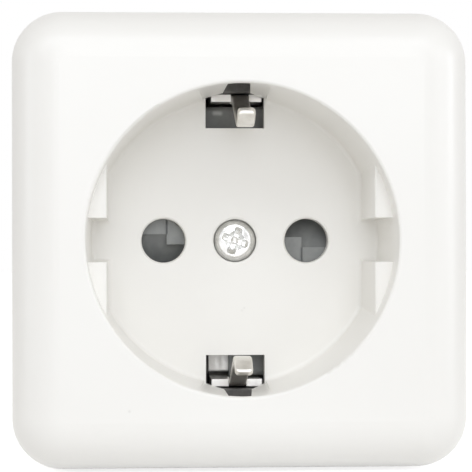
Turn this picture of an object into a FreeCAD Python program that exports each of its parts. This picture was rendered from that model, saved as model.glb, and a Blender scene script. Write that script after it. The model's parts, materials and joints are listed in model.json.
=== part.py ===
import FreeCAD, Part
import math
import os

# Type F wall socket, surface mounted. Everything is modelled with z = 0 on the wall,
# z towards the room, y up and x to the right, then turned so that +Z is up and the
# front faces -Y. Lengths are in mm, angles in degrees.

# Sizes of the cap
plate_side = 57.7
side_draft = 0.5
edge_round = 6.2
corner_extra = 0.2
wall = 2.0
cap_back_gap = 0.2

# Sizes of the plug well
well_depth = 17.5
well_radius = 19.5
well_draft = 0.4
rim_round = 0.4
floor_round = 0.6
floor_thickness = 2.0
cup_wall = 1.5
pin_spacing = 19.0
pin_length = 19.0
pin_hole_radius = 2.9
hole_round = 0.35
back_room = 5.5

# Guide lands left and right in the well
guide_gap = 33.8
guide_front = 3.75
guide_notch = 5.6
guide_round = 0.3

# Earth windows at the top and the bottom of the well
cutout_width = 7.8
upper_cutout_inset = 4.58
lower_cutout_inset = 4.33
slot_left = 1.8
slot_right_rim = 1.05
slot_right_roof = 1.8
upper_roof = 3.9
lower_roof = 6.0
slot_front = 1.0
facet_draft = 0.2
facet_left_floor = 4.2
facet_left_rim = 5.5
facet_right_floor = 4.1
facet_right_rim = 3.55

# Knock-outs outlined in the top and bottom walls of the cap
knockout_width = 14.0
knockout_height = 11.0
knockout_groove = 0.8
knockout_depth = 0.6

# Centre screw and its boss
screw_radius = 1.45
head_radius = 2.75
head_height = 1.6
head_dome = 0.6
head_seat = 2.0
counterbore_gap = 0.1
screw_gap = 0.25
thread_gap = 0.03
boss_radius = 4.2
boss_length = 4.3
screw_length = 13.0
recess_width = 1.05
recess_span = 5.0
recess_foot = 0.9
recess_depth = 1.7
recess_pit = 2.5
recess_pit_foot = 0.3
recess_turn = -15.0
keeper_radius = 2.8
keeper_height = 0.8

# Shutter
tray_wall = 1.1
tray_floor = 1.0
tray_top_gap = 0.2
rotor_gap = 0.2
rotor_height = 2.9
rotor_bore_gap = 0.05
hub_gap = 0.5
blade_lap = 0.4
blade_gap = 0.3
blade_half_angle = 23.0
open_angle = 40.0
stop_gap_angle = 1.5
stop_angle = 6.0
stop_length = 1.6
ramp_angle = 24.0
ramp_step = 0.6
ramp_foot = 0.5
lane_shift = 0.46
lane_groove = 0.25
lane_groove_depth = 0.5
inner_edge = 0.47
outer_edge = -0.88
tray_hole_gap = 0.1
ear_half_width = 4.6
ear_gap = 0.3
ear_thickness = 1.6
ear_round = 0.8
ear_open_edge = -0.6
spring_thickness = 0.35
spring_width = 1.6
spring_bend = 1.2
spring_reach = 3.9
spring_knee_x = -0.6
spring_knee_gap = 1.9
spring_tail = 0.5
spring_touch = 0.02
spring_post_radius = 0.9
spring_post = (4.8, 10.6)
peg_radius = 1.0
peg_length = 2.0
peg_gap = 0.05
peg_a = (-8.5, -9.0)
peg_b = (8.5, -6.1)

# Contact block
block_wall = 2.5
block_corner = 1.5
block_end_gap = 0.5
bay_width = 8.8
chamber_height = 8.6
tab_passage = 2.6
channel_gap = 0.3
bore_end_gap = 0.3
part_gap = 0.4
pin_floor_room = 1.9
lug_gap = 0.15
lug_thickness = 1.8
lug_shelf = 4.0
lug_drop = 0.1
lug_round = 0.3
tab_level = 9.0
screw_end_floor = 2.0

# Brass contacts
contact_thickness = 0.8
contact_height = 7.0
contact_gap = 4.4
contact_belly = 5.8
contact_mouth = 6.4
contact_bend = 1.0
contact_sink = 1.0
pinch_part = 0.55
tab_width = 6.4
tab_end = 4.0
clasp_thickness = 0.5
clasp_width = 0.8
clasp_gap = 0.15
clasp_reach = 2.6
clasp_bend = 0.4

# Terminals
terminal_y = 12.2
terminal_screw_radius = 1.7
terminal_head_radius = 3.1
terminal_head_height = 2.2
terminal_head_round = 0.4
terminal_screw_length = 6.2
terminal_slot_width = 0.9
terminal_slot_depth = 1.1
clamp_depth = 6.6
clamp_thickness = 0.8
clamp_lip = 0.6
clamp_gap = 0.15

# Earth strip
strip_thickness = 0.95
strip_rise = 0.05
strip_left = 3.1
strip_right = 3.6
strip_inset = 0.55
strip_drop = 5.0
strip_bend = 1.3
shoulder_drop = 1.0
tongue_left = 0.4
tongue_right = 1.9
tongue_edge = 0.3
tongue_slit = 0.05
tongue_lap = 3.4
tongue_root = 0.3
lower_tongue_shift = -0.4
lower_tongue_out = 0.4
knee_inset = 5.0
knee_depth = 7.0
knee_bend = 3.5
tip_inset = 3.05
tip_depth = 4.0
tip_round = 0.65
earth_tab_end = 3.9
bush_radius = 3.1
bush_length = 3.2
bush_spigot = 2.3
rivet_radius = 2.75
rivet_height = 0.5

# Base plate
plate_thickness = 2.2
lip_gap = 0.25
lip_wall = 1.6
lip_height = 8.0
wall_slot_radius = 2.1
wall_slot_length = 6.4
wall_slot_inset = 1.0
rear_entry_length = 18.0
rear_entry_radius = 2.6
rear_entry_groove = 0.8
rear_entry_depth = 1.4
block_screw_pitch = 29.0
block_screw_radius = 1.4
block_screw_head = 2.6
block_screw_length = 8.0
block_screw_sink = 0.2
block_screw_gap = 0.05
block_screw_slot = 0.8

# Levels that follow from the sizes, measured from the wall
front = well_depth + pin_length + back_room
floor_front = front - well_depth
floor_back = floor_front - floor_thickness
rotor_top = floor_back - rotor_gap
rotor_bottom = rotor_top - rotor_height
tray_inside = rotor_bottom - rotor_gap
block_front = tray_inside - tray_floor
chamber_floor = floor_front - pin_length - pin_floor_room
strip_back = block_front - strip_drop
strip_front = strip_back + strip_thickness
seat_level = floor_front - head_seat

# Places that follow from the sizes, measured from the plug axis
pin_x = pin_spacing / 2
well_floor_radius = well_radius - well_draft
cup_radius = well_radius + cup_wall
hub_radius = pin_x - pin_hole_radius - hub_gap
blade_radius = pin_x + pin_hole_radius + blade_lap
tray_bore = blade_radius + blade_gap
tray_radius = tray_bore + tray_wall
lane_x = pin_x - lane_shift
strip_radius = well_radius - strip_inset
arm_inside = strip_radius - strip_thickness / 2
block_half_width = pin_x + bay_width / 2 + block_wall
block_half_height = arm_inside - block_end_gap
corner_radius = edge_round + corner_extra

# How far cutting tools run past a face, how far joined solids reach into each other, and
# how close two numbers are that mean the same place
OVER = 1.0
WELD = 0.5
TINY = 1e-4

V = FreeCAD.Vector
X_AXIS = V(1, 0, 0)
Y_AXIS = V(0, 1, 0)
Z_AXIS = V(0, 0, 1)
ORIGIN = V(0, 0, 0)
FAR = 100.0

os.makedirs("parts", exist_ok=True)


def save(shape, name):
    """Turn a shape from the wall frame into the shared frame and write it."""
    turned = shape.copy()
    turned.rotate(ORIGIN, X_AXIS, 90)
    turned.exportStep("parts/" + name + ".step")


def box(x0, x1, y0, y1, z0, z1):
    return Part.makeBox(x1 - x0, y1 - y0, z1 - z0, V(x0, y0, z0))


def rod(radius, z0, z1, x=0.0, y=0.0):
    return Part.makeCylinder(radius, z1 - z0, V(x, y, z0))


def cone(r0, r1, z0, z1, x=0.0, y=0.0):
    return Part.makeCone(r0, r1, z1 - z0, V(x, y, z0))


def prism(points, direction):
    """Extrude the closed outline through these points along a vector."""
    outline = Part.makePolygon(points + [points[0]])
    return Part.Face(outline).extrude(direction)


def prism_xz(points, y0, y1):
    return prism([V(x, y0, z) for x, z in points], V(0, y1 - y0, 0))


def prism_yz(points, x0, x1):
    return prism([V(x0, y, z) for y, z in points], V(x1 - x0, 0, 0))


def mirrored(shape, normal):
    return shape.mirror(ORIGIN, normal)


def turned(shape, angle):
    copy = shape.copy()
    copy.rotate(ORIGIN, Z_AXIS, angle)
    return copy


def oblong(length, radius, z0, z1, x, y):
    """An upright bar with round ends, lying along x."""
    reach = length / 2 - radius
    middle = box(x - reach, x + reach, y - radius, y + radius, z0, z1)
    return joined(middle, [rod(radius, z0, z1, x - reach, y), rod(radius, z0, z1, x + reach, y)])


def sector(r0, r1, a0, a1, z0, z1):
    """A ring segment between two radii and two angles."""
    def at(radius, angle):
        return V(radius * math.cos(math.radians(angle)),
                 radius * math.sin(math.radians(angle)), z0)
    middle = (a0 + a1) / 2
    edges = [
        Part.makeLine(at(r0, a0), at(r1, a0)),
        Part.Arc(at(r1, a0), at(r1, middle), at(r1, a1)).toShape(),
        Part.makeLine(at(r1, a1), at(r0, a1)),
        Part.Arc(at(r0, a1), at(r0, middle), at(r0, a0)).toShape(),
    ]
    return Part.Face(Part.Wire(edges)).extrude(V(0, 0, z1 - z0))


def rounded_square(side, corner, z):
    half = side / 2
    inner = half - corner
    diagonal = inner + corner * math.sqrt(0.5)
    edges = []
    for turn in range(4):
        quarter = [
            Part.makeLine(V(half, -inner, z), V(half, inner, z)),
            Part.Arc(V(half, inner, z), V(diagonal, diagonal, z),
                     V(inner, half, z)).toShape(),
        ]
        for edge in quarter:
            edge.rotate(ORIGIN, Z_AXIS, 90 * turn)
            edges.append(edge)
    return Part.Wire(edges)


def cap_block(side_back, side_front, corner, z0, z1, round_radius):
    """A drafted square block with rounded corners and a rounded front edge."""
    block = Part.makeLoft([rounded_square(side_back, corner, z0),
                           rounded_square(side_front, corner, z1)], True, True)
    edges = [e for e in block.Edges
             if all(abs(v.Z - z1) < TINY for v in e.Vertexes)]
    return block.makeFillet(round_radius, edges)


def strip_outline(points, thickness, bend):
    """Outline of a bent strip in two dimensions, as (kind, points) pieces.

    The strip follows the middle line through the points, and every bend is an arc
    whose middle line has the bend radius."""
    path = [V(p[0], p[1], 0) for p in points]
    sides = {}
    for side in (1, -1):
        offset = side * thickness / 2
        pieces = []
        start = None
        for i in range(len(path) - 1):
            along = (path[i + 1] - path[i]).normalize()
            normal = V(-along.y, along.x, 0)
            if start is None:
                start = path[i] + normal * offset
            if i + 2 < len(path):
                after = (path[i + 2] - path[i + 1]).normalize()
                turn = along.x * after.y - along.y * after.x
                cosine = max(-1.0, min(1.0, along.dot(after)))
                reach = bend * math.tan(math.acos(cosine) / 2)
                hand = 1 if turn > 0 else -1
                centre = path[i + 1] - along * reach + normal * (bend * hand)
                radius = bend - offset * hand
                after_normal = V(-after.y, after.x, 0)
                first = centre - normal * (radius * hand)
                last = centre - after_normal * (radius * hand)
                half_way = (normal + after_normal).normalize()
                middle = centre - half_way * (radius * hand)
                pieces.append(("line", start, first))
                pieces.append(("arc", first, middle, last))
                start = last
            else:
                pieces.append(("line", start, path[i + 1] + normal * offset))
        sides[side] = pieces
    return sides


def strip(points, thickness, bend, place, direction):
    """Extrude a bent strip. place turns a flat point into a point of the model."""
    sides = strip_outline(points, thickness, bend)
    edges = []
    for side in (1, -1):
        for piece in sides[side]:
            spots = [place(p.x, p.y) for p in piece[1:]]
            if piece[0] == "line":
                edges.append(Part.makeLine(spots[0], spots[1]))
            else:
                edges.append(Part.Arc(spots[0], spots[1], spots[2]).toShape())
    for end in (0, -1):
        a, b = (sides[s][end][1 if end == 0 else -1] for s in (1, -1))
        edges.append(Part.makeLine(place(a.x, a.y), place(b.x, b.y)))
    outline = Part.Wire(Part.__sortEdges__(edges))
    return Part.Face(outline).extrude(direction)


def round_edges(shape, radius, wanted):
    edges = [e for e in shape.Edges if wanted(e)]
    return shape.makeFillet(radius, edges) if edges else shape


def is_upright(edge):
    ends = edge.Vertexes
    return isinstance(edge.Curve, Part.Line) and abs(ends[0].Z - ends[-1].Z) > TINY


def is_circle(edge, radius, z):
    curve = edge.Curve
    return (isinstance(curve, Part.Circle) and abs(curve.Radius - radius) < TINY
            and abs(curve.Center.z - z) < TINY)


def hollow(solid, tools):
    for tool in tools:
        solid = solid.cut(tool)
    return solid


def joined(solid, tools):
    for tool in tools:
        solid = solid.fuse(tool)
    return solid.removeSplitter()


# Cap with the plug well
shoulder = front - edge_round
side_back = plate_side + 2 * side_draft
side_front = plate_side - 2 * side_draft * edge_round / shoulder
inner_round = edge_round - wall
cap = cap_block(side_back, side_front, corner_radius, cap_back_gap, front, edge_round)
inside = cap_block(side_back - 2 * wall, side_front - 2 * wall, corner_radius - wall,
                   cap_back_gap - OVER, front - wall, inner_round)
cap = cap.cut(inside)
cap = joined(cap, [rod(cup_radius, floor_back, front - wall / 2),
                   rod(boss_radius, floor_back - boss_length, floor_back + WELD)])

land_side = guide_gap / 2
land_front = front - guide_front
bore = cone(well_floor_radius, well_radius, floor_front, front)


def round_floor(shape):
    """Round the foot of the well wall."""
    return round_edges(shape, floor_round, lambda e: all(
        abs(v.Z - floor_front) < TINY for v in e.Vertexes))


between_lands = round_floor(bore.common(box(-land_side, land_side, -FAR, FAR, 0, FAR)))
notches = round_floor(bore.common(box(-FAR, FAR, -guide_notch / 2, guide_notch / 2, 0, FAR)))
mouth = bore.common(box(-FAR, FAR, -FAR, FAR, land_front, FAR))
pocket = joined(between_lands, [notches, mouth])
cap = cap.cut(pocket)
cap = round_edges(cap, rim_round, lambda e: is_circle(e, well_radius, front))


def is_land_edge(edge):
    """Edges of the lands that stand free in the well: their front rims."""
    if not isinstance(edge.Curve, Part.Line):
        return False
    ends = edge.Vertexes
    level = all(abs(v.Z - land_front) < TINY for v in ends)
    on_flat = all(abs(abs(v.X) - land_side) < TINY for v in ends)
    return level and on_flat


cap = round_edges(cap, guide_round, is_land_edge)
pin_holes = [rod(pin_hole_radius, floor_back - OVER, floor_front + OVER, side * pin_x)
             for side in (-1, 1)]
head_hole = rod(head_radius + counterbore_gap, seat_level, floor_front + OVER)
shank_hole = rod(screw_radius + screw_gap, floor_back - boss_length - OVER, seat_level + OVER)
cap = hollow(cap, pin_holes + [head_hole, shank_hole])
cap = round_edges(cap, hole_round, lambda e: is_circle(e, pin_hole_radius, floor_front))
cap = round_edges(cap, hole_round,
                  lambda e: is_circle(e, head_radius + counterbore_gap, floor_front))

# Earth windows: a cut-out in the floor, a roofed opening in the wall, a narrow slot up
# to the rim, and shallow facets beside it
half_cut = cutout_width / 2
slot_top = front - slot_front


def window_tools(inset, roof_height):
    """Cutting tools of the window at the top of the well."""
    inner = well_radius - inset
    outer = cup_radius + OVER
    roof = floor_front + roof_height
    floor_cut = box(-half_cut, half_cut, inner, outer, floor_back - OVER, floor_front + TINY)
    window = prism_xz([(-half_cut, floor_front), (-slot_left, roof), (-slot_left, slot_top),
                       (slot_right_rim, slot_top), (slot_right_roof, roof),
                       (half_cut, floor_front)], inner, outer)
    facet = prism_xz([(-facet_left_floor, floor_front), (-facet_left_rim, front - rim_round),
                      (facet_right_rim, front - rim_round), (facet_right_floor, floor_front)],
                     inner, outer)
    facet = facet.common(cone(well_radius - facet_draft, well_radius, floor_front, front))
    return [floor_cut, window, facet]


cap = hollow(cap, window_tools(upper_cutout_inset, upper_roof))
cap = hollow(cap, [mirrored(tool, Y_AXIS) for tool in window_tools(lower_cutout_inset, lower_roof)])


def arch(width, height):
    """Upright outline with a round end, standing on the wall, in x and z."""
    half = width / 2
    straight = height - half
    edges = [
        Part.makeLine(V(-half, 0, -OVER), V(half, 0, -OVER)),
        Part.makeLine(V(half, 0, -OVER), V(half, 0, straight)),
        Part.Arc(V(half, 0, straight), V(0, 0, height), V(-half, 0, straight)).toShape(),
        Part.makeLine(V(-half, 0, straight), V(-half, 0, -OVER)),
    ]
    return Part.Face(Part.Wire(edges)).extrude(V(0, plate_side, 0))


groove = arch(knockout_width, knockout_height)
groove = groove.cut(arch(knockout_width - 2 * knockout_groove,
                         knockout_height - knockout_groove))
groove = groove.cut(box(-FAR, FAR, 0, plate_side / 2 + side_draft / 2 - knockout_depth,
                        -FAR, FAR))
cap = hollow(cap, [groove, mirrored(groove, Y_AXIS)])
save(cap, "cover")

# Centre screw with a raised head and a cross recess
head_top = seat_level + head_height
dome_radius = (head_radius ** 2 + head_dome ** 2) / (2 * head_dome)
dome = Part.makeSphere(dome_radius, V(0, 0, head_top + head_dome - dome_radius))
head = rod(head_radius, seat_level, head_top + head_dome)
head = head.common(dome.fuse(rod(head_radius, seat_level, head_top)))
screw = joined(head, [rod(screw_radius, seat_level - screw_length, seat_level)])
recess_top = head_top + head_dome
recess_floor = recess_top - recess_depth
for turn in (0, 90):
    arm = prism_xz([(-recess_span / 2, recess_top), (-recess_foot / 2, recess_floor),
                    (recess_foot / 2, recess_floor), (recess_span / 2, recess_top)],
                   -recess_width / 2, recess_width / 2)
    screw = screw.cut(turned(arm, recess_turn + turn))
screw = screw.cut(cone(recess_pit_foot / 2, recess_pit / 2, recess_floor, recess_top))
save(screw, "cover_screw")

keeper_front = floor_back - boss_length
keeper = rod(keeper_radius, keeper_front - keeper_height, keeper_front)
keeper = keeper.cut(rod(screw_radius + thread_gap, 0, FAR))
save(keeper, "screw_keeper")

# Shutter tray with stops, spring post, two pegs that key it to the block and two ears
# that close the earth windows from behind, the lower one on its right half only
tray_top = floor_back - tray_top_gap
tray = rod(tray_radius, block_front, tray_top).cut(rod(tray_bore, tray_inside, FAR))
boss_clear = boss_radius + 2 * rotor_gap
tray_holes = [rod(pin_hole_radius + tray_hole_gap, 0, FAR, side * pin_x) for side in (-1, 1)]
tray = hollow(tray, tray_holes + [rod(boss_clear, 0, FAR)])
rest_stop = blade_half_angle + stop_gap_angle
open_stop = -blade_half_angle - open_angle - stop_gap_angle
post_x, post_y = spring_post
tray_extras = [rod(spring_post_radius, block_front, rotor_top - rotor_gap, post_x, post_y)]
for half_turn in (0, 180):
    for a0 in (rest_stop, open_stop - stop_angle):
        tray_extras.append(sector(tray_bore - stop_length, tray_radius - tray_wall / 2,
                                  a0 + half_turn, a0 + stop_angle + half_turn,
                                  block_front, tray_top))
for x, y in (peg_a, peg_b):
    tray_extras.append(rod(peg_radius, block_front - peg_length, block_front + WELD, x, y))
ear_end = arm_inside - ear_gap
ear_front = block_front + ear_thickness
ear = box(-ear_half_width, ear_half_width, 0, ear_end, block_front, ear_front)
ear = round_edges(ear, ear_round, lambda e: all(
    abs(v.Y - ear_end) < TINY and abs(v.Z - ear_front) < TINY for v in e.Vertexes))
ear = ear.cut(rod(tray_bore, 0, FAR))
lower_ear = mirrored(ear, Y_AXIS).cut(box(-FAR, ear_open_edge, -FAR, -tray_radius, 0, FAR))
tray = joined(tray, tray_extras + [ear, lower_ear])
save(tray, "shutter_tray")

# Shutter rotor: two blades with stepped ramps, opened by the pins
rotor = rod(hub_radius, rotor_bottom, rotor_top)
slope = math.tan(math.radians(ramp_angle))
ramp_top = rotor_top - ramp_step
ramp_end = rotor_bottom + ramp_foot
ramp_length = (ramp_top - ramp_end) / slope
for half_turn in (0, 180):
    blade = sector(hub_radius - WELD, blade_radius, -blade_half_angle, blade_half_angle,
                   rotor_bottom, rotor_top)
    for x0, x1, edge in ((0, lane_x, inner_edge), (lane_x, FAR, outer_edge)):
        ramp = prism_yz([(edge, rotor_top + OVER), (edge, ramp_top - slope * (edge - outer_edge)),
                         (outer_edge + ramp_length, ramp_end), (FAR, ramp_end),
                         (FAR, rotor_top + OVER)], x0, x1)
        blade = blade.cut(ramp.cut(rod(hub_radius, 0, FAR)))
    blade = blade.cut(box(lane_x - lane_groove / 2, lane_x + lane_groove / 2, -FAR, outer_edge,
                          rotor_top - lane_groove_depth, rotor_top + OVER))
    rotor = rotor.fuse(turned(blade, half_turn))
rotor = rotor.cut(rod(boss_radius + rotor_bore_gap, -FAR, FAR)).removeSplitter()
save(rotor, "shutter_rotor")

# Return spring: a flat hairpin between the left blade and the post in the tray
lead = math.radians(180 - blade_half_angle)
lead_x = math.cos(lead)
lead_y = math.sin(lead)
spring_tip = hub_radius + spring_reach
touch = spring_thickness / 2 + spring_touch
spring_points = [(spring_tip * lead_x + touch * lead_y, spring_tip * lead_y - touch * lead_x),
                 (spring_knee_x, hub_radius + spring_knee_gap),
                 (post_x - spring_post_radius - touch, post_y + spring_tail)]
spring_z = rotor_bottom + (rotor_height - spring_width) / 2
spring = strip(spring_points, spring_thickness, spring_bend,
               lambda u, v: V(u, v, spring_z), V(0, 0, spring_width))
save(spring, "shutter_spring")

# Contact block
tab_top = tab_level + contact_thickness
channel_x0 = -strip_left - channel_gap
channel_x1 = strip_right + channel_gap
half_bay = bay_width / 2
half_chamber = chamber_height / 2
bay_foot = half_chamber + tab_passage
block = box(-block_half_width, block_half_width, -block_half_height, block_half_height,
            plate_thickness, block_front)
block = round_edges(block, block_corner, is_upright)
terminal_hole = terminal_screw_radius + part_gap
clamp_half = tab_width / 2 + clamp_gap + clamp_thickness
earth_tab_reach = pin_x + earth_tab_end
cuts = [box(channel_x0, channel_x1, -FAR, FAR, strip_back, FAR),
        rod(bush_radius + peg_gap, strip_back - bush_length - bore_end_gap, FAR),
        rod(screw_radius + screw_gap, plate_thickness + screw_end_floor, FAR),
        box(channel_x1 - WELD, earth_tab_reach + part_gap, -FAR,
            -terminal_y + clamp_half + part_gap, strip_back, FAR),
        rod(terminal_hole, strip_back - terminal_screw_length, FAR, pin_x, -terminal_y)]
for side in (-1, 1):
    x0 = side * pin_x - half_bay
    x1 = side * pin_x + half_bay
    cuts.append(box(x0, x1, -half_chamber, half_chamber, chamber_floor, FAR))
    cuts.append(box(x0, x1, half_chamber - WELD, bay_foot, chamber_floor, tab_top + part_gap))
    cuts.append(box(x0, x1, bay_foot - TINY, FAR, tab_level, FAR))
    cuts.append(rod(terminal_hole, tab_level - terminal_screw_length, FAR, side * pin_x,
                    terminal_y))
for x, y in (peg_a, peg_b):
    cuts.append(rod(peg_radius + peg_gap, block_front - peg_length - bore_end_gap, FAR, x, y))
screw_spots = [(0.0, block_screw_pitch / 2), (0.0, -block_screw_pitch / 2)]
for x, y in screw_spots:
    cuts.append(rod(block_screw_radius + thread_gap, 0, block_screw_length + bore_end_gap, x, y))
block = hollow(block, cuts)

# Lugs of the block that stand behind the arms of the earth strip, on a shelf under them
arm_outside = strip_radius + strip_thickness / 2 + strip_rise
lug_half = half_cut - lug_gap
lug_inside = arm_outside + lug_gap
lug_outside = lug_inside + lug_thickness
lug_top = floor_front - lug_drop
shelf_top = strip_back - part_gap
shelf_bottom = shelf_top - lug_shelf
shelf = box(-lug_half, lug_half, block_half_height - WELD, lug_outside, shelf_bottom, shelf_top)
lug = joined(shelf, [box(-lug_half, lug_half, lug_inside, lug_outside, shelf_bottom, lug_top)])
lug = round_edges(lug, lug_round, lambda e: all(abs(v.Z - lug_top) < TINY for v in e.Vertexes))
block = joined(block, [lug, mirrored(lug, Y_AXIS)])
save(block, "contact_block")

# Brass contacts: a two-leaf clip for the pin and a joggled tab for the terminal
half_t = contact_thickness / 2
web = chamber_floor + half_t
pinch = floor_front - pin_length * pinch_part
leaf = [(contact_mouth / 2 + half_t, block_front - contact_sink),
        (contact_gap / 2 + half_t, pinch),
        (contact_belly / 2 + half_t, (pinch + web) / 2),
        (contact_belly / 2 + half_t, web)]
leaf_points = [(-x, z) for x, z in leaf] + leaf[::-1]
clip = strip(leaf_points, contact_thickness, contact_bend,
             lambda u, v: V(u, -contact_height / 2, v), V(0, contact_height, 0))
joggle = half_chamber + tab_passage / 2
tab = strip([(0, web), (joggle, web), (joggle, tab_level + half_t),
             (terminal_y + tab_end, tab_level + half_t)], contact_thickness, contact_bend,
            lambda u, v: V(-tab_width / 2, u, v), V(tab_width, 0, 0))
tab = tab.cut(box(-FAR, FAR, -FAR, contact_height / 2 - WELD, -FAR, FAR))
tab = tab.common(box(-FAR, FAR, -FAR, FAR, chamber_floor, FAR))
contact = joined(clip, [tab])
contact = contact.cut(rod(terminal_screw_radius + thread_gap, 0, FAR, 0, terminal_y))
for side, name in ((-1, "line_contact"), (1, "neutral_contact")):
    placed = contact.copy()
    placed.translate(V(side * pin_x, 0, 0))
    save(placed, name)

# Steel clasps that press the contact leaves together: a flat wire bent round three sides
clasp_x = contact_gap / 2 + contact_thickness + clasp_gap + clasp_thickness / 2
clasp_y = contact_height / 2 + clasp_gap + clasp_thickness / 2
clasp_points = [(-clasp_x, clasp_reach), (-clasp_x, -clasp_y),
                (clasp_x, -clasp_y), (clasp_x, clasp_reach)]
clasp = strip(clasp_points, clasp_thickness, clasp_bend,
              lambda u, v: V(u, v, pinch - clasp_width / 2), V(0, 0, clasp_width))
clasps = []
for side in (-1, 1):
    placed = clasp.copy()
    placed.translate(V(side * pin_x, 0, 0))
    clasps.append(placed)
save(Part.makeCompound(clasps), "contact_clasps")

# Earth strip with its two spring clips
strip_mid = strip_back + strip_thickness / 2
strip_width = strip_left + strip_right
shoulder_z = floor_front - shoulder_drop
top_y = strip_radius + strip_rise
low_y = -strip_radius + strip_rise
earth = strip([(low_y, shoulder_z), (low_y, strip_mid), (top_y, strip_mid), (top_y, shoulder_z)],
              strip_thickness, strip_bend,
              lambda u, v: V(-strip_left, u, v), V(strip_width, 0, 0))
tongue_z = shoulder_z - tongue_root
tongue_foot = tongue_z - tongue_lap
tip_z = front - tip_depth


def is_tip_corner(edge):
    """Short edges across the free end of a tongue, at its two corners."""
    ends = edge.Vertexes
    near_tip = all(abs(v.Z - tip_z) < strip_thickness for v in ends)
    at_side = len(ends) == 2 and abs(ends[0].X - ends[1].X) < TINY
    return near_tip and at_side and abs(edge.Length - strip_thickness) < TINY


def is_side_edge(edge):
    """Edges along the two sides of a tongue, away from its foot."""
    ends = edge.Vertexes
    on_side = all(abs(v.X - ends[0].X) < TINY for v in ends)
    at_foot = all(abs(v.Z - tongue_foot) < TINY for v in ends)
    return on_side and not at_foot


def make_tongue(foot_y, out):
    """Spring tongue at the top: up the arm, in to the knee and out again to the tip."""
    knee_y = well_radius - knee_inset + out
    tip_y = well_radius - tip_inset + out
    tongue = strip([(foot_y, tongue_foot), (foot_y, tongue_z), (knee_y, front - knee_depth),
                    (tip_y, tip_z)], strip_thickness, knee_bend,
                   lambda u, v: V(-tongue_left, u, v), V(tongue_left + tongue_right, 0, 0))
    tongue = round_edges(tongue, tip_round, is_tip_corner)
    return round_edges(tongue, tongue_edge, is_side_edge)


upper_tongue = make_tongue(top_y, 0.0)
lower_tongue = mirrored(make_tongue(-low_y, lower_tongue_out), Y_AXIS)
upper_slit = box(-tongue_left - tongue_slit, tongue_right + tongue_slit, 0, FAR,
                 tongue_foot + WELD, FAR)
lower_slit = mirrored(upper_slit, Y_AXIS)
for shape in (lower_tongue, lower_slit):
    shape.translate(V(lower_tongue_shift, 0, 0))
earth = hollow(earth, [upper_slit, lower_slit])
earth_tab = box(strip_right - WELD, earth_tab_reach, -terminal_y - tab_width / 2,
                -terminal_y + tab_width / 2, strip_back, strip_front)
earth = joined(earth, [upper_tongue, lower_tongue, earth_tab])
earth = hollow(earth, [rod(bush_spigot, 0, FAR),
                       rod(terminal_screw_radius + thread_gap, 0, FAR, pin_x, -terminal_y)])
save(earth, "earth_strip")

bush = joined(rod(bush_radius, strip_back - bush_length, strip_back),
              [rod(bush_spigot, strip_back - WELD, strip_front + rivet_height),
               rod(rivet_radius, strip_front, strip_front + rivet_height)])
bush = bush.cut(rod(screw_radius + thread_gap, 0, FAR))
save(bush, "earth_bush")

# Terminals: one screw and one saddle clamp each, on the two contact tabs and the earth tab
clamp_x = clamp_half - clamp_thickness / 2
clamp_mid = clamp_thickness / 2
clamp_bend = clamp_mid + clamp_gap
clamp = strip([(-clamp_x, -clamp_lip), (-clamp_x, clamp_mid), (clamp_x, clamp_mid),
               (clamp_x, -clamp_lip)], clamp_thickness, clamp_bend,
              lambda u, v: V(u, -clamp_depth / 2, v), V(0, clamp_depth, 0))
clamp = clamp.cut(rod(terminal_screw_radius + screw_gap, -OVER, FAR))
bolt = joined(rod(terminal_head_radius, 0, terminal_head_height),
              [rod(terminal_screw_radius, -terminal_screw_length, 0)])
bolt = round_edges(bolt, terminal_head_round,
                   lambda e: is_circle(e, terminal_head_radius, terminal_head_height))
bolt = bolt.cut(box(-FAR, FAR, -terminal_slot_width / 2, terminal_slot_width / 2,
                    terminal_head_height - terminal_slot_depth, FAR))
clamps = []
bolts = []
for x, y, level, turn in ((-pin_x, terminal_y, tab_top, 0), (pin_x, terminal_y, tab_top, 0),
                          (pin_x, -terminal_y, strip_front, 90)):
    for shape, group, lift in ((clamp, clamps, 0.0), (bolt, bolts, clamp_thickness)):
        placed = turned(shape, turn)
        placed.translate(V(x, y, level + lift))
        group.append(placed)
save(Part.makeCompound(clamps), "terminal_clamps")
save(Part.makeCompound(bolts), "terminal_screws")

# Base plate with a lip inside the cap, two wall slots and an outlined rear cable entry
lip_side = side_back - 2 * wall - 2 * side_draft * lip_height / shoulder - 2 * lip_gap
lip_corner = corner_radius - wall - lip_gap
plate = Part.Face(rounded_square(lip_side, lip_corner, 0)).extrude(V(0, 0, lip_height))
room = Part.Face(rounded_square(lip_side - 2 * lip_wall, lip_corner - lip_wall / 2,
                                plate_thickness)).extrude(V(0, 0, FAR))
plate = plate.cut(room)
inside_half = lip_side / 2 - lip_wall
wall_slot_x = inside_half - wall_slot_inset - wall_slot_length / 2
plate_cuts = [oblong(wall_slot_length, wall_slot_radius, -OVER, FAR, side * wall_slot_x, 0)
              for side in (-1, 1)]
entry_y = (inside_half + block_half_height) / 2
entry = oblong(rear_entry_length, rear_entry_radius, -OVER, rear_entry_depth, 0, entry_y)
entry_core = oblong(rear_entry_length - 2 * rear_entry_groove,
                    rear_entry_radius - rear_entry_groove, -FAR, FAR, 0, entry_y)
plate_cuts.append(entry.cut(entry_core))
sink_depth = block_screw_head - block_screw_radius
sink_radius = block_screw_head + block_screw_gap
for x, y in screw_spots:
    plate_cuts.append(rod(block_screw_radius + screw_gap, -OVER, FAR, x, y))
    plate_cuts.append(rod(sink_radius, -OVER, block_screw_sink, x, y))
    plate_cuts.append(cone(sink_radius, block_screw_radius + block_screw_gap,
                           block_screw_sink, block_screw_sink + sink_depth, x, y))
plate = hollow(plate, plate_cuts)
save(plate, "base_plate")

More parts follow.
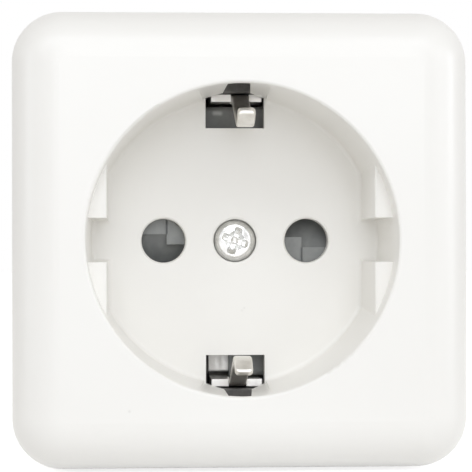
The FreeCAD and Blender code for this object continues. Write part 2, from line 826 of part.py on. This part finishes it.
block_screws = []
for x, y in screw_spots:
    body = cone(block_screw_head, block_screw_radius, block_screw_sink,
                block_screw_sink + sink_depth, x, y)
    body = joined(body, [rod(block_screw_radius, block_screw_sink + sink_depth,
                             block_screw_length, x, y)])
    body = body.cut(box(-FAR, FAR, y - block_screw_slot / 2, y + block_screw_slot / 2, -OVER,
                        block_screw_sink + block_screw_slot))
    block_screws.append(body)
save(Part.makeCompound(block_screws), "block_screws")

print("front face at", front, "mm from the wall")
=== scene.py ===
import bmesh
import bpy
import json
import math
from mathutils import Matrix, Vector, noise


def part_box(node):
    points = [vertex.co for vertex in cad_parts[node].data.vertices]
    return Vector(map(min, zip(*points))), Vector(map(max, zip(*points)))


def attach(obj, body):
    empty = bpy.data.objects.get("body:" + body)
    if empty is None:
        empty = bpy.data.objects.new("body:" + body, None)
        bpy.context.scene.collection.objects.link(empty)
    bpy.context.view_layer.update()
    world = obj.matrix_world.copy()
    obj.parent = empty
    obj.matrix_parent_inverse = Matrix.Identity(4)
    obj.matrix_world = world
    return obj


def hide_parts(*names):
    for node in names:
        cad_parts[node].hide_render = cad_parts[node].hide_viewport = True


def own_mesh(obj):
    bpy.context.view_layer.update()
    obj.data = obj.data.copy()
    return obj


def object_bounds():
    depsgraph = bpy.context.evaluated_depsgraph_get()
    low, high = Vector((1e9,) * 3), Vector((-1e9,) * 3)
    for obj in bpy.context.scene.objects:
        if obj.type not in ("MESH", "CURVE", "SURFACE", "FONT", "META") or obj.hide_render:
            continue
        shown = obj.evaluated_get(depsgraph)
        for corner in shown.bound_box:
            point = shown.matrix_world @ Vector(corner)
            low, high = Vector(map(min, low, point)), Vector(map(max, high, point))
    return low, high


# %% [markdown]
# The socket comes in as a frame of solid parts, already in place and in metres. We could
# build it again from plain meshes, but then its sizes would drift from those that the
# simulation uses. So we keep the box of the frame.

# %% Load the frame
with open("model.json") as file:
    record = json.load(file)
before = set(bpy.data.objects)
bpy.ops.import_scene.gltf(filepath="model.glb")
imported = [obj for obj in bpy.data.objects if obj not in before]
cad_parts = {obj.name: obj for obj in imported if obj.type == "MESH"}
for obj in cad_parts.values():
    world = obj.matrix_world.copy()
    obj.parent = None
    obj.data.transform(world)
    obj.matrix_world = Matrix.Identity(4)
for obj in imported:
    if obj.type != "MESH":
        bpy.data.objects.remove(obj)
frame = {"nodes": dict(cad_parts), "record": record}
cad_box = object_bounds()
nodes = frame["nodes"]
MM = 0.001
print("nodes:", len(nodes), "box:", [[round(v, 4) for v in corner] for corner in cad_box])

# %% [markdown]
# The camera stands a little left of the plug axis, about 245 mm in front of the face, and
# turns slightly towards it. A Track To constraint could aim it, but that leaves out a small
# roll. We build its matrix from yaw, pitch and roll, because then each number can be read on
# its own.

# %% Camera
IMAGE_PIXELS = 472
FOCAL_PIXELS = 1977.4
SENSOR_WIDTH = 36.0
NEAR_LIMIT = 0.01
CAMERA_PLACE = Vector((-15.0, -286.57, -1.99)) * MM
CAMERA_YAW = math.radians(3.303)
CAMERA_PITCH = math.radians(0.568)
CAMERA_ROLL = math.radians(-0.12)
LEVEL_TURN = math.radians(90)


def add_camera():
    data = bpy.data.cameras.new("camera")
    data.sensor_width = SENSOR_WIDTH
    data.lens = SENSOR_WIDTH * FOCAL_PIXELS / IMAGE_PIXELS
    data.clip_start = NEAR_LIMIT
    camera = bpy.data.objects.new("camera", data)
    turn = (Matrix.Rotation(-CAMERA_YAW, 4, "Z") @ Matrix.Rotation(LEVEL_TURN, 4, "X")
            @ Matrix.Rotation(CAMERA_PITCH, 4, "X") @ Matrix.Rotation(CAMERA_ROLL, 4, "Z"))
    camera.matrix_world = Matrix.Translation(CAMERA_PLACE) @ turn
    bpy.context.scene.collection.objects.link(camera)
    bpy.context.scene.camera = camera
    print("lens:", round(data.lens, 1), "mm")


add_camera()

# %% [markdown]
# A pale room lights the socket evenly and slightly warm. A picture of a room could do that
# too, but one even tone is easier to judge. The eye and the mirrors should see plain white
# behind the socket instead, so the light path decides which of two backgrounds a ray meets.

# %% World
WORLD_STRENGTH = 0.378
WORLD_TONE = (1.0, 0.95, 0.875)
BACKDROP_STRENGTH = 1.0
BACKDROP_TONE = (1.0, 1.0, 1.0)


def add_node(tree, kind, inputs=None, **settings):
    """Make one shader node, with its settings and the values of its sockets."""
    made = tree.nodes.new("ShaderNode" + kind)
    for key, value in settings.items():
        setattr(made, key, value)
    for key, value in (inputs or {}).items():
        made.inputs[key].default_value = value
    return made


def show_to_eye(tree, plain, seen, output):
    """Use the shader seen for camera, glossy and transmission rays, and plain for all others."""
    path = add_node(tree, "LightPath")
    mask = path.outputs["Is Camera Ray"]
    for ray in ("Is Glossy Ray", "Is Transmission Ray"):
        either = add_node(tree, "Math", operation="MAXIMUM")
        tree.links.new(mask, either.inputs[0])
        tree.links.new(path.outputs[ray], either.inputs[1])
        mask = either.outputs[0]
    mix = add_node(tree, "MixShader")
    tree.links.new(mask, mix.inputs["Fac"])
    tree.links.new(plain.outputs[0], mix.inputs[1])
    tree.links.new(seen.outputs[0], mix.inputs[2])
    tree.links.new(mix.outputs[0], output.inputs["Surface"])


def add_background(tree, tone, strength):
    return add_node(tree, "Background", {"Color": (*tone, 1), "Strength": strength})


def add_world():
    world = bpy.data.worlds.new("white_room")
    world.use_nodes = True
    tree = world.node_tree
    tree.nodes.clear()
    room = add_background(tree, WORLD_TONE, WORLD_STRENGTH)
    white = add_background(tree, BACKDROP_TONE, BACKDROP_STRENGTH)
    show_to_eye(tree, room, white, add_node(tree, "OutputWorld"))
    bpy.context.scene.world = world
    bpy.context.scene.view_settings.view_transform = "Standard"
    print("world:", world.name, "with strength", WORLD_STRENGTH)


add_world()

# %% [markdown]
# Soft lamps stand far away and are slightly cool. The largest one, above the camera, gives
# the shade inside the well, and two low ones keep the sides from turning grey. Point lamps
# would be simpler, but they draw hard shadows, so each lamp is an area that faces the socket.
# Places and sizes are in mm.

# %% Lamps
LAMPS = {
    "ceiling_lamp": {"place": (-99, -833, 781), "size": (1430, 440), "power": 4.1},
    "front_lamp": {"place": (0, -942, 240), "size": (480, 480), "power": 1.8},
    "left_lamp": {"place": (-760, -640, 450), "size": (600, 600), "power": 0.6},
    "right_lamp": {"place": (800, -670, 300), "size": (600, 600), "power": 1.15},
    "left_side_lamp": {"place": (-1130, -260, 60), "size": (400, 600), "power": 1.2},
    "right_side_lamp": {"place": (1130, -260, 120), "size": (400, 600), "power": 2.5},
}
LAMP_AIM = Vector((0.0, -30.0, 0.0)) * MM
LAMP_TONE = (0.885, 0.925, 0.995)


def add_lamp(name, place, size, power):
    data = bpy.data.lights.new(name, "AREA")
    data.shape = "RECTANGLE"
    data.size = size[0] * MM
    data.size_y = size[1] * MM
    data.energy = power
    data.color = LAMP_TONE
    lamp = bpy.data.objects.new(name, data)
    spot = Vector(place) * MM
    aim = (LAMP_AIM - spot).to_track_quat("-Z", "Y").to_matrix().to_4x4()
    lamp.matrix_world = Matrix.Translation(spot) @ aim
    bpy.context.scene.collection.objects.link(lamp)
    print(name, "of", power, "W,", round((LAMP_AIM - spot).length, 2), "m away")


for lamp_name, lamp in LAMPS.items():
    add_lamp(lamp_name, **lamp)

# %% [markdown]
# The socket stands on white paper that fades into the background. Leaving the paper out
# would be easier, but then no light comes back from below. So the floor is a plain white
# sheet, and a glow that only the eye and the mirrors see lifts it to the white behind it.

# %% Floor
FLOOR_SIZE = 6.0
FLOOR_TONE = (0.9, 0.9, 0.9)
FLOOR_GLOW = 0.75


def floor_white():
    material = bpy.data.materials.new("floor_white")
    material.use_nodes = True
    tree = material.node_tree
    tree.nodes.clear()
    paper = add_node(tree, "BsdfDiffuse", {"Color": (*FLOOR_TONE, 1)})
    glow = add_node(tree, "Emission", {"Strength": FLOOR_GLOW})
    both = add_node(tree, "AddShader")
    tree.links.new(paper.outputs[0], both.inputs[0])
    tree.links.new(glow.outputs[0], both.inputs[1])
    show_to_eye(tree, paper, both, add_node(tree, "OutputMaterial"))
    return material


def add_floor():
    half = FLOOR_SIZE / 2
    level = cad_box[0][2]
    corners = [(-half, -half), (half, -half), (half, half), (-half, half)]
    mesh = bpy.data.meshes.new("floor")
    mesh.from_pydata([(x, y, level) for x, y in corners], [], [(0, 1, 2, 3)])
    mesh.materials.append(floor_white())
    floor = bpy.data.objects.new("floor", mesh)
    bpy.context.scene.collection.objects.link(floor)
    print("floor at", round(level / MM, 2), "mm")


add_floor()

# %% [markdown]
# No real surface is one flat colour. A photograph of the surface could be wrapped round a
# piece, but it would stretch and show seams. We use patterns that are worked out at every
# point from the object's own coordinates. Every pattern has its size in millimetres, so that
# it can be compared with the real thing.

# %% Tools for patterns
class Patterns:
    """A material with one Principled shader, and the patterns that can be laid on it."""

    def __init__(self, name, metallic):
        self.material = bpy.data.materials.new(name)
        self.material.use_nodes = True
        self.tree = self.material.node_tree
        self.shader = self.tree.nodes["Principled BSDF"]
        self.shader.inputs["Metallic"].default_value = metallic
        self.coords = add_node(self.tree, "TexCoord").outputs["Object"]

    def link(self, output, socket):
        self.tree.links.new(output, socket)

    def noise(self, size, stretch=(1, 1, 1), detail=2.0):
        """A noise pattern whose spots are about size mm, divided by stretch along each axis."""
        scale = [factor / (size * MM) for factor in stretch]
        mapping = add_node(self.tree, "Mapping", {"Scale": scale})
        pattern = add_node(self.tree, "TexNoise", {"Scale": 1.0, "Detail": detail})
        self.link(self.coords, mapping.inputs["Vector"])
        self.link(mapping.outputs["Vector"], pattern.inputs["Vector"])
        return pattern.outputs["Fac"]

    def remap(self, value, old, new):
        """Turn the range old of a value into the range new, and ease it to rest at both ends."""
        inputs = {"From Min": old[0], "From Max": old[1], "To Min": new[0], "To Max": new[1]}
        node = add_node(self.tree, "MapRange", inputs, interpolation_type="SMOOTHSTEP")
        self.link(value, node.inputs["Value"])
        return node.outputs["Result"]

    def near(self, place, inner, outer, depth):
        """A round mask at a place in mm: depth inside the inner radius, 0 outside the outer."""
        distance = add_node(self.tree, "VectorMath", operation="DISTANCE")
        distance.inputs[1].default_value = [c * MM for c in place]
        self.link(self.coords, distance.inputs[0])
        return self.remap(distance.outputs["Value"], (inner * MM, outer * MM), (depth, 0.0))


# %% [markdown]
# A moulded or plated face has slow patches of tone, a gloss that comes and goes, and a fine
# grain that only shows in the highlights. One pattern could drive all three, but on real
# faces they don't follow each other. So colour, gloss and grain each take a pattern of their
# own, and dirt is laid over the colour at the end.

# %% Tools for finishes
NOISE_RANGE = (0.32, 0.68)


class Finish(Patterns):
    """Ways to put a pattern into the colour, the gloss or the relief of a material."""

    def colour(self, pattern, dark, light):
        """Base colour that wanders between two tones."""
        ramp = add_node(self.tree, "ValToRGB")
        ramp.color_ramp.interpolation = "EASE"
        for stop, place, tone in zip(ramp.color_ramp.elements, NOISE_RANGE, (dark, light)):
            stop.position = place
            stop.color = (*tone, 1)
        self.link(pattern, ramp.inputs["Fac"])
        self.link(ramp.outputs["Color"], self.shader.inputs["Base Color"])

    def gloss(self, pattern, smooth, rough):
        """Roughness that wanders between two values."""
        roughness = self.remap(pattern, NOISE_RANGE, (smooth, rough))
        self.link(roughness, self.shader.inputs["Roughness"])

    def grain(self, pattern, height):
        """Relief of this height in mm."""
        bump = add_node(self.tree, "Bump", {"Strength": 1.0, "Distance": height * MM})
        self.link(pattern, bump.inputs["Height"])
        self.link(bump.outputs["Normal"], self.shader.inputs["Normal"])

    def stain_and_highlight(self, mask, tone):
        """Lay a second colour over the base colour where the mask is 1, for dirt and for painted
        highlights.
        """
        base = self.shader.inputs["Base Color"].links[0].from_socket
        mix = add_node(self.tree, "MixRGB", {"Color2": (*tone, 1)})
        self.link(mask, mix.inputs["Fac"])
        self.link(base, mix.inputs["Color1"])
        self.link(mix.outputs["Color"], self.shader.inputs["Base Color"])


# %% [markdown]
# The cap is pressed from white thermoset in a polished mould, so it is glossy and very
# slightly warm. Up close it has a faint ripple, and this one has a few specks of dirt: two
# in the well and one on the face, and a rubbed mark below the screw. Dirt could be painted by
# hand. A speck here is a small round mask at a place in the shared frame, in mm, because then
# it can be moved like any piece.

# %% White plastic of the cap
PLASTIC = 0.0
WHITE_DARK = (0.946, 0.93, 0.888)
WHITE_LIGHT = (0.954, 0.939, 0.898)
WHITE_GLOSS = (0.28, 0.32)
TONE_PATCH = 25.0
GLOSS_PATCH = 16.0
RIPPLE_SIZE = 4.0
RIPPLE_HEIGHT = 0.0006
DIRT_TONE = (0.42, 0.4, 0.37)
SPECKS = {
    "wall_speck": {"place": (-7.68, -36.8, 17.7), "inner": 0.08, "outer": 0.3, "depth": 0.4},
    "face_speck": {"place": (-14.11, -42.0, -21.2), "inner": 0.05, "outer": 0.28, "depth": 0.16},
    "land_speck": {"place": (-16.7, -38.2, -7.64), "inner": 0.05, "outer": 0.28, "depth": 0.25},
    "rub_high": {"place": (1.2, -24.5, -8.95), "inner": 0.05, "outer": 0.25, "depth": 0.12},
    "rub_low": {"place": (0.9, -24.5, -9.25), "inner": 0.05, "outer": 0.25, "depth": 0.09},
}


def white_plastic():
    made = Finish("gloss_white_plastic", PLASTIC)
    made.colour(made.noise(TONE_PATCH, detail=1.0), WHITE_DARK, WHITE_LIGHT)
    made.gloss(made.noise(GLOSS_PATCH, detail=0.0), *WHITE_GLOSS)
    made.grain(made.noise(RIPPLE_SIZE, detail=0.0), RIPPLE_HEIGHT)
    for speck in SPECKS.values():
        made.stain_and_highlight(made.near(**speck), DIRT_TONE)
    print("cap: white plastic with", len(SPECKS), "specks")
    return made.material


finishes = {"white_plastic": white_plastic()}

# %% [markdown]
# The other plastics are duller. The base plate and the nylon ring come straight from plain
# moulds, the block is a dark pressed thermoset with pale filler in it, and the shutter is
# grey with a satin grain, so that pins slide on it. Its tray has a painted highlight in one
# place, left of the upper earth clip: pale spots in the colour that stand for a reflection of
# light. Each could have a function of its own, but they differ only in their numbers, so one
# function reads a table.

# %% Other plastics
# Painted highlight: pale spots on the tray ear, left of the upper earth clip, stand in the colour
# for a reflection of light.
PAINTED_HIGHLIGHT_TONE = (0.8, 0.8, 0.78)
PAINTED_HIGHLIGHT_PLACES = [(-2.5, -19.8, 17.25), (-2.1, -19.8, 17.25), (-1.7, -19.8, 17.22)]
PAINTED_HIGHLIGHTS = [{"place": place, "inner": 0.02, "outer": 0.5, "depth": 0.55} for place in PAINTED_HIGHLIGHT_PLACES]
PLASTICS = {
    "base_plastic": {"dark": (0.76, 0.755, 0.73), "light": (0.83, 0.825, 0.8),
                     "gloss": (0.42, 0.55), "patch": 6.0, "grain": 0.5, "height": 0.006},
    "block_plastic": {"dark": (0.16, 0.155, 0.147), "light": (0.21, 0.204, 0.194),
                      "gloss": (0.5, 0.68), "patch": 0.8, "grain": 0.35, "height": 0.008},
    "shutter_plastic": {"dark": (0.25, 0.256, 0.25), "light": (0.29, 0.297, 0.288),
                        "gloss": (0.38, 0.52), "patch": 1.6, "grain": 0.3, "height": 0.004,
                        "painted_highlights": PAINTED_HIGHLIGHTS},
    "keeper_plastic": {"dark": (0.66, 0.62, 0.5), "light": (0.75, 0.71, 0.6),
                       "gloss": (0.4, 0.5), "patch": 1.2, "grain": 0.3, "height": 0.003},
}


def patchy_finish(name, metallic, dark, light, gloss, patch, grain, height,
                  stretch=(1, 1, 1), painted_highlights=()):
    """A finish with patches of tone, finer patches of gloss, a grain and spots of painted
    highlight.
    """
    made = Finish(name, metallic)
    made.colour(made.noise(patch), dark, light)
    made.gloss(made.noise(patch / 2, stretch), *gloss)
    made.grain(made.noise(grain, stretch), height)
    # Each spot is a painted highlight, laid into the base colour.
    for highlight_spot in painted_highlights:
        made.stain_and_highlight(made.near(**highlight_spot), PAINTED_HIGHLIGHT_TONE)
    print(name, "with a grain of", grain, "mm and", len(painted_highlights), "painted highlight spots")
    return made.material


for slot, look in PLASTICS.items():
    finishes[slot] = patchy_finish(slot, PLASTIC, **look)

# %% [markdown]
# Plated strip keeps the lines of the rolling mill, which run along the strip. They could be
# cut into the mesh, but they are finer than a hair, so the noise is stretched in that
# direction instead. Screws are dipped in zinc after turning, which leaves an even skin.
# Brass turns brown in patches where fingers touched it.

# %% Metals
METAL = 1.0
METALS = {
    "nickel_strip": {"dark": (0.82, 0.795, 0.75), "light": (0.92, 0.9, 0.86),
                     "gloss": (0.35, 0.48), "patch": 1.5, "grain": 0.25, "height": 0.0005,
                     "stretch": (1.0, 0.12, 0.12)},
    "zinc_steel": {"dark": (0.7, 0.7, 0.69), "light": (0.82, 0.82, 0.805),
                   "gloss": (0.14, 0.24), "patch": 0.9, "grain": 0.3, "height": 0.0015},
    "spring_steel": {"dark": (0.44, 0.44, 0.45), "light": (0.56, 0.56, 0.56),
                     "gloss": (0.28, 0.4), "patch": 1.2, "grain": 0.2, "height": 0.001,
                     "stretch": (0.15, 1.0, 1.0)},
    "contact_brass": {"dark": (0.62, 0.43, 0.17), "light": (0.8, 0.6, 0.27),
                      "gloss": (0.28, 0.42), "patch": 2.5, "grain": 0.25, "height": 0.0012,
                      "stretch": (1.0, 0.15, 1.0)},
}
for slot, look in METALS.items():
    finishes[slot] = patchy_finish(slot, METAL, **look)

# %% [markdown]
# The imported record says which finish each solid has. Every solid could have a material of
# its own, but pieces from one sheet or mould look alike, so they share one. Only the material
# slot of a solid is filled here. Its mesh stays as it is.

# %% Put the finishes on the pieces
for part in frame["record"]["subparts"]:
    mesh = nodes[part["node"]].data
    mesh.materials.clear()
    mesh.materials.append(finishes[part["material_slot"]])
    print(part["node"], "wears", part["material_slot"])

# %% [markdown]
# Two pieces need more than a solid can give. Each of them is built as a bmesh, and one
# function turns that into a smooth piece with sharp edges that stands in for the solid. A
# modifier could find the sharp edges too, but marked edges stay in the mesh itself.

# %% Tool for pieces
SHARP_ANGLE = math.radians(50)


def add_piece(bm, name, slot, replaced):
    """Finish a bmesh as a piece of the housing that is shown in place of a CAD node."""
    for face in bm.faces:
        face.smooth = True
    for edge in bm.edges:
        edge.smooth = edge.calc_face_angle(0.0) < SHARP_ANGLE
    mesh = bpy.data.meshes.new(name)
    bm.to_mesh(mesh)
    bm.free()
    mesh.materials.append(finishes[slot])
    piece = bpy.data.objects.new(name, mesh)
    bpy.context.scene.collection.objects.link(piece)
    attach(piece, "housing")
    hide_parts(replaced)
    print(name, "has", len(mesh.polygons), "faces and stands for", replaced)
    return piece


# %% [markdown]
# The cover screw has been driven often, so its cross recess is worn round. It could be cut
# with a Boolean, but that leaves sharp edges. We work out how deep the recess is at any place
# on the head instead: two slots with sloped ends and a round pit, whichever is deeper. A
# little noise shifts the places, which stands for slipped drivers. All sizes are in mm.

# %% Recess of the cover screw
CROSS_TURN = math.radians(-20)
ARM_HALF = 0.42
ARM_REACH = 1.85
ARM_SLOPE = 1.0
ARM_DEPTH = 1.0
PIT_RADIUS = 1.3
PIT_DEPTH = 1.25
WORN_EDGE = 0.1
SLIP = 0.13
SLIP_SIZE = 0.7
SLIP_LAYERS = (0.0, 9.0)


def clamp(value):
    return max(0.0, min(1.0, value))


def arm_depth(along, across):
    """Depth of one slot of the cross, with a sloped end and rounded side walls."""
    side = clamp((ARM_HALF + WORN_EDGE - abs(across)) / (2 * WORN_EDGE))
    return ARM_DEPTH * clamp((ARM_REACH - abs(along)) / ARM_SLOPE) * side * side * (3 - 2 * side)


def recess_depth(x, z):
    """How far the recess lies below the crown at a place on the head."""
    u = x * math.cos(CROSS_TURN) + z * math.sin(CROSS_TURN)
    v = z * math.cos(CROSS_TURN) - x * math.sin(CROSS_TURN)
    u += SLIP * noise.noise(Vector((u, v, SLIP_LAYERS[0])) / SLIP_SIZE)
    v += SLIP * noise.noise(Vector((u, v, SLIP_LAYERS[1])) / SLIP_SIZE)
    pit = PIT_DEPTH * clamp(1 - (u * u + v * v) / PIT_RADIUS ** 2)
    return max(pit, arm_depth(u, v), arm_depth(v, u))


print("recess:", round(recess_depth(0.0, 0.0), 2), "mm deep in the middle")

# %% [markdown]
# The rest of the screw is turned, so its outline is spun into a fine grid. The Screw modifier
# could wind a thread, but it wouldn't close at the head. We push the points of the grid
# instead: inwards on the shank for a thread, and down in the head for the recess. The length
# and the width of the head come from the solid that this piece stands for.

# %% Cover screw
SEAT = 22.5
SHANK_RADIUS = 1.45
THREAD_PITCH = 0.5
THREAD_DEPTH = 0.25
RINGS_PER_PITCH = 4
CROWN_RINGS = 70
CROWN_DROP = 0.46
RIM_DROP = 0.45
RIM_POWER = 9
SPIN_STEPS = 120
MERGE = 0.0001


def screw_outline(radius, tip, top):
    """Outline of the screw from its tip to the middle of its crown, as (radius, level)."""
    rings = math.ceil((SEAT - tip) / THREAD_PITCH * RINGS_PER_PITCH)
    shank = [(SHANK_RADIUS, tip + (SEAT - tip) * i / rings) for i in range(rings + 1)]
    crown = []
    for i in range(CROWN_RINGS, -1, -1):
        part = i / CROWN_RINGS
        crown.append((radius * part, top - CROWN_DROP * part ** 2 - RIM_DROP * part ** RIM_POWER))
    return [(0.0, tip)] + shank + [(radius, SEAT)] + crown


def push_screw_point(point):
    """Move one point of the spun screw into the thread or into the recess."""
    x, level, z = point.x, -point.y, point.z
    radius = math.hypot(x, z)
    if level > SEAT:
        return Vector((x, recess_depth(x, z) - level, z))
    if radius < SHANK_RADIUS / 2 or level > SEAT - THREAD_PITCH:
        return point
    phase = (level / THREAD_PITCH + math.atan2(z, x) / math.tau) % 1.0
    inner = 1 - THREAD_DEPTH / radius * abs(2 * phase - 1)
    return Vector((x * inner, -level, z * inner))


def make_screw():
    low, high = [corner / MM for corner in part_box("cover_screw")]
    outline = screw_outline(high.x, -high.y, -low.y)
    bm = bmesh.new()
    spots = [bm.verts.new((radius, -level, 0)) for radius, level in outline]
    edges = [bm.edges.new(pair) for pair in zip(spots, spots[1:])]
    bmesh.ops.spin(bm, geom=spots + edges, cent=(0, 0, 0), axis=(0, 1, 0), angle=math.tau,
                   steps=SPIN_STEPS, use_merge=True)
    bmesh.ops.remove_doubles(bm, verts=bm.verts, dist=MERGE)
    for vert in bm.verts:
        vert.co = push_screw_point(vert.co) * MM
    bmesh.ops.recalc_face_normals(bm, faces=bm.faces)
    add_piece(bm, "driven_screw", "zinc_steel", "cover_screw")


make_screw()

# %% [markdown]
# When the shutter turns, its left blade pushes the free end of the hairpin spring towards
# the post, so a rigid spring would stand in its way. Its end at the post stays where it is.
# A copy of the spring is merged at its seams and shown as a smooth piece in place of the
# solid, and it stays rigid.


def make_spring():
    bm = bmesh.new()
    bm.from_mesh(nodes["shutter_spring"].data)
    bmesh.ops.remove_doubles(bm, verts=bm.verts, dist=MERGE * MM)
    spring = add_piece(bm, "hairpin_spring", "spring_steel", "shutter_spring")
    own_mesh(spring)


make_spring()
